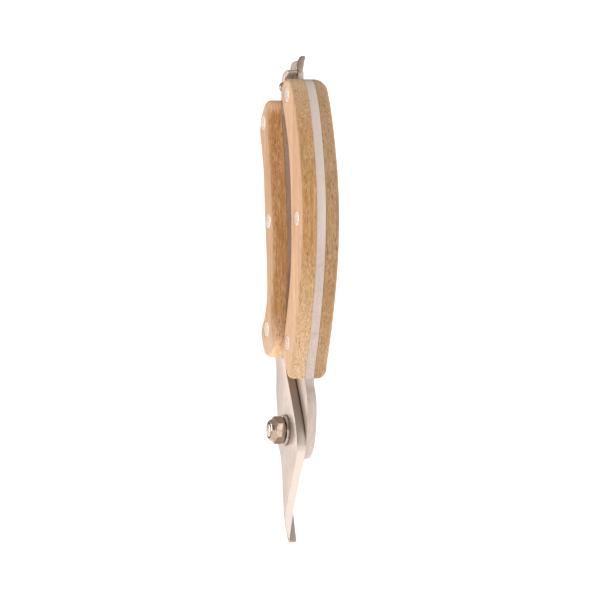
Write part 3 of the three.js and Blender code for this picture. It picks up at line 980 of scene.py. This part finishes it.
def spring_line(shallow_y, deep_y):
    """The wire's middle line, from the end of one leg to the end of the other."""
    coil_y = deep_y - SPRING_WIRE
    pitch = 2 * SPRING_WIRE + COIL_ROOM
    turns = SPRING_TURNS + LEG_ANGLE / 360
    line = []
    for i in range(LEG_STEPS):
        out = SPRING_RADIUS + LEG_OUT * (1 - i / LEG_STEPS)
        line.append(Vector((PIVOT.x + out, coil_y, PIVOT.z)))
    for i in range(COIL_STEPS + 1):
        turn = turns * i / COIL_STEPS
        angle = 2 * math.pi * turn
        side, rise = SPRING_RADIUS * math.cos(angle), SPRING_RADIUS * math.sin(angle)
        line.append(Vector((PIVOT.x + side, coil_y - pitch * turn, PIVOT.z + rise)))
    last = line[-1]
    for i in range(1, END_STEPS + 1):
        line.append(Vector((last.x, last.y + (shallow_y - last.y) * i / END_STEPS, last.z)))
    return line


def add_spring():
    """Two turns round the bolt, one leg along a slot and one up into a groove."""
    shallow, deep = corners("torsion_spring")
    line = spring_line(shallow.y, deep.y)
    bm = bmesh.new()
    rings = []
    up = Vector((0, 1, 0))
    for i, point in enumerate(line):
        ahead = (line[min(i + 1, len(line) - 1)] - line[max(i - 1, 0)]).normalized()
        outward = Vector((point.x - PIVOT.x, 0, point.z - PIVOT.z)).normalized()
        side = ahead.cross(outward if abs(ahead.dot(up)) > 0.5 else up).normalized()
        rise = side.cross(ahead).normalized()
        ring = []
        for k in range(WIRE_FACETS):
            angle = 2 * math.pi * k / WIRE_FACETS
            offset = side * math.cos(angle) + rise * math.sin(angle)
            ring.append(bm.verts.new(point + offset * SPRING_WIRE))
        rings.append(ring)
    bridge(bm, rings)
    bm.faces.new(rings[0])
    bm.faces.new(rings[-1])
    mesh = mesh_of(bm, "torsion_spring")
    link_piece("torsion_spring_wire", mesh, "spring", PALM_HALF, "torsion_spring", slot="steel")


# ---- the catch -------------------------------------------------------------------

CATCH_FRONT = 0.7 * MM  # behind the plane where the plates meet
CATCH_THICK = 2.4 * MM
CATCH_EASE = 0.35 * MM
TAB_FROM = 4.75 * MM  # where the thumb tab's thickness starts, across the shears
TAB_THICK = 1.65 * MM
TAB_LEAN = 0.22  # how far its face leans away for each millimetre of height
TAB_FOOT = 5.6  # the height, in mm above the catch's rivet, where the lean starts
TAB_INNER_LEAN = 0.35  # of the outer face's lean, so the tab is thinner at its top
TAB_OUTER_LEAN = 0.65
TAB_OUTLINE = [
    (0.72, 6.0), (2.2, 5.9), (2.75, 6.7), (3.2, 8.4), (3.75, 10.6), (4.3, 12.3), (4.1, 12.7),
    (2.9, 12.78), (1.8, 12.35), (1.0, 10.9), (0.45, 9.3), (0.15, 7.9), (0.25, 7.35),
]  # mm behind the plates' middle plane, mm above the catch's rivet


def catch_plate():
    """The lever's flat part, drawn out backwards from the CAD piece's front face."""
    bm = cad_mesh("catch_lever")
    front = PIVOT.y + CATCH_FRONT
    kept = {
        f for f in bm.faces
        if f.normal.y < -0.95 and abs(f.calc_center_median().y - front) < 0.05 * MM
    }
    bmesh.ops.delete(bm, geom=[f for f in bm.faces if f not in kept], context="FACES")
    loose = [v for v in bm.verts if not v.link_faces]
    bmesh.ops.delete(bm, geom=loose, context="VERTS")
    drawn = bmesh.ops.extrude_face_region(bm, geom=list(bm.faces))
    moved = [item for item in drawn["geom"] if isinstance(item, bmesh.types.BMVert)]
    bmesh.ops.translate(bm, verts=moved, vec=(0, CATCH_THICK, 0))
    bmesh.ops.recalc_face_normals(bm, faces=bm.faces)
    join_flats(bm)
    bevel(bm, CATCH_EASE * 0.8, 3, 60, clamp=True)
    return bm


def catch_tab():
    """The thumb tab, leaning, and thinner towards its top."""
    bm = bmesh.new()
    rings = []
    for side in (0, TAB_THICK):
        ring = []
        for depth, rise in TAB_OUTLINE:
            share = TAB_INNER_LEAN + TAB_OUTER_LEAN * side / TAB_THICK
            lean = TAB_LEAN * (rise - TAB_FOOT) * MM * share
            place = (
                CATCH_PIVOT.x + TAB_FROM + side - lean,
                PIVOT.y + depth * MM,
                CATCH_PIVOT.z + rise * MM,
            )
            ring.append(bm.verts.new(place))
        rings.append(ring)
    bridge(bm, rings)
    bm.faces.new(rings[0])
    bm.faces.new(rings[1])
    bmesh.ops.recalc_face_normals(bm, faces=bm.faces)
    bevel(bm, CATCH_EASE, 4, 50, clamp=True)
    return bm


def add_catch():
    lever = mesh_of(catch_plate(), "catch_lever", 30)
    link_piece("catch_lever_steel", lever, "catch", CATCH, "catch_lever", slot="steel")
    tab = mesh_of(catch_tab(), "catch_tab", 30)
    link_piece("catch_tab_steel", tab, "tab", CATCH, "catch_lever", slot="steel")


CATCH_BORE = 1.36 * MM
CATCH_WASHER_EASE = 0.1 * MM


def add_catch_washer():
    low, high = corners("catch_washer")
    outer = (high.x - low.x) / 2
    ease = CATCH_WASHER_EASE
    profile = [(CATCH_BORE, low.y), (outer - ease, low.y), (outer, low.y + ease)]
    profile += [(outer, high.y - ease), (outer - ease, high.y), (CATCH_BORE, high.y)]
    ring = mesh_of(round_skin(profile, CATCH_PIVOT, 48), "catch_washer")
    link_piece("catch_washer_ring", ring, "washer", CATCH, "catch_washer", slot="steel")


RIVET_SHANK = 1.3 * MM
RIVET_HEAD = 1.4 * MM  # the front head's height
RIVET_RIM = 0.15 * MM
RIVET_DOME = 1.25 * MM
RIVET_BACK = 0.8 * MM  # the closed head's height
RIVET_BACK_RIM = 0.12 * MM
RIVET_BACK_DOME = 0.66 * MM
RIVET_STEPS = 9


def add_rivet():
    """A round-headed rivet, closed to a low dome behind the catch."""
    low, high = corners("catch_rivet")
    head = (high.x - low.x) / 2
    front_seat = low.y + RIVET_HEAD
    back_seat = high.y - RIVET_BACK
    rim = head - 0.1 * MM
    profile = []
    for i in range(RIVET_STEPS + 1):
        turn = math.pi / 2 * i / RIVET_STEPS
        y = front_seat - RIVET_RIM - RIVET_DOME * math.cos(turn)
        profile.append((head * math.sin(turn), y))
    profile += [(rim, front_seat), (RIVET_SHANK, front_seat), (RIVET_SHANK, back_seat)]
    profile += [(rim, back_seat), (head, back_seat + RIVET_BACK_RIM)]
    for i in range(1, RIVET_STEPS + 1):
        turn = math.pi / 2 * i / RIVET_STEPS
        y = back_seat + RIVET_BACK_RIM + RIVET_BACK_DOME * math.sin(turn)
        profile.append((head * math.cos(turn), y))
    profile[0] = (0, profile[0][1])
    profile[-1] = (0, profile[-1][1])
    mesh = mesh_of(round_skin(profile, CATCH_PIVOT, 48), "catch_rivet")
    # the rivet takes the tab's darker steel, which is painted shade
    link_piece("catch_rivet_body", mesh, "tab", FINGER_HALF, "catch_rivet", slot="plated_steel")


# ---- floor, light and world ------------------------------------------------------

FLOOR_RADIUS = 12
FLOOR_DROP = 0.2 * MM
FLOOR_GLOW = 0.80
FLOOR_WHITE = (1, 0.985, 0.965, 1)
FLOOR_PAINT = ((0.78, 0.78, 0.78), (0.80, 0.80, 0.80))
LIGHT_AIM = Vector((0, 0, 0.1))
BACKDROP = 1.3  # how bright the white behind the object is
SKY_LOW = (0.58, 0.565, 0.55)
SKY_HIGH = (0.54, 0.51, 0.48)
SKY_TURN = 0.55  # how high the sky has darkened fully, 1 being straight up
NEAR_SIDE = (0.95, -0.31, 0.05)  # the darker part of the room, where one stands to look
NEAR_SPAN = (0.45, 0.90)
NEAR_DARK = 0.65


def add_floor():
    bm = bmesh.new()
    bmesh.ops.create_circle(bm, cap_ends=True, segments=96, radius=FLOOR_RADIUS)
    mesh = bpy.data.meshes.new("floor")
    bm.to_mesh(mesh)
    bm.free()
    n = Surface("floor_paint")
    cloud = n.noise(n.place, 3, 3)
    n.give("Base Color", n.mix(cloud, *FLOOR_PAINT))
    n.give("Emission Color", FLOOR_WHITE)
    n.give("Emission Strength", FLOOR_GLOW)
    n.give("Roughness", 0.9)
    n.give("Specular IOR Level", 0.1)
    mesh.materials.append(n.material)
    floor = bpy.data.objects.new("floor", mesh)
    floor.location.z = cad_box[0][2] - FLOOR_DROP
    bpy.context.scene.collection.objects.link(floor)


def add_light(name, azimuth, elevation, distance, size, power, colour):
    flat = math.cos(math.radians(elevation)) * distance
    angle = math.radians(azimuth)
    place = LIGHT_AIM + Vector((
        math.sin(angle) * flat,
        -math.cos(angle) * flat,
        math.sin(math.radians(elevation)) * distance,
    ))
    data = bpy.data.lights.new(name, "AREA")
    data.shape = "SQUARE"
    data.size = size
    data.energy = power
    data.color = colour
    light = bpy.data.objects.new(name, data)
    light.location = place
    light.rotation_euler = (LIGHT_AIM - place).to_track_quat("-Z", "Y").to_euler()
    bpy.context.scene.collection.objects.link(light)


def add_world():
    """White behind the object; for light and reflections, a sky that darkens upwards."""
    world = bpy.data.worlds.new("studio")
    world.use_nodes = True
    n = Nodes(world.node_tree)
    background = world.node_tree.nodes["Background"]
    direction = n.split(n.source("Generated"))
    high = n.span(direction[2], 0.0, SKY_TURN, 0, 1)
    sky = n.mix(high, SKY_LOW, SKY_HIGH)
    across = n.math("MULTIPLY", direction[0], NEAR_SIDE[0])
    along = n.math("MULTIPLY", direction[1], NEAR_SIDE[1])
    upwards = n.math("MULTIPLY", direction[2], NEAR_SIDE[2])
    towards = n.math("ADD", n.math("ADD", across, along), upwards)
    near = n.span(towards, *NEAR_SPAN, 0, NEAR_DARK)
    side = n.math("SUBTRACT", 1.0, near)
    seen = world.node_tree.nodes.new("ShaderNodeLightPath").outputs["Is Camera Ray"]
    n.put(background.inputs["Color"], n.mix(seen, sky, (1, 1, 1)))
    backdrop = n.math("MULTIPLY", seen, BACKDROP)
    n.put(background.inputs["Strength"], n.math("MAXIMUM", side, backdrop))
    bpy.context.scene.world = world


def add_studio():
    add_world()
    add_floor()
    add_light(
        "key", azimuth=-46, elevation=3, distance=1.6, size=0.4, power=5.0, colour=(1, 0.97, 0.94)
    )
    add_light(
        "side", azimuth=124, elevation=4, distance=1.8, size=1.6, power=9.0, colour=(1, 0.97, 0.93)
    )
    view = bpy.context.scene.view_settings
    view.view_transform = "Standard"
    view.look = "None"


# ---- the scene -------------------------------------------------------------------

add_camera()
add_studio()
add_scales()
add_plates()
add_pins()
add_washer()
add_nut()
add_insert()
add_bolt()
add_spring()
add_catch()
add_catch_washer()
add_rivet()
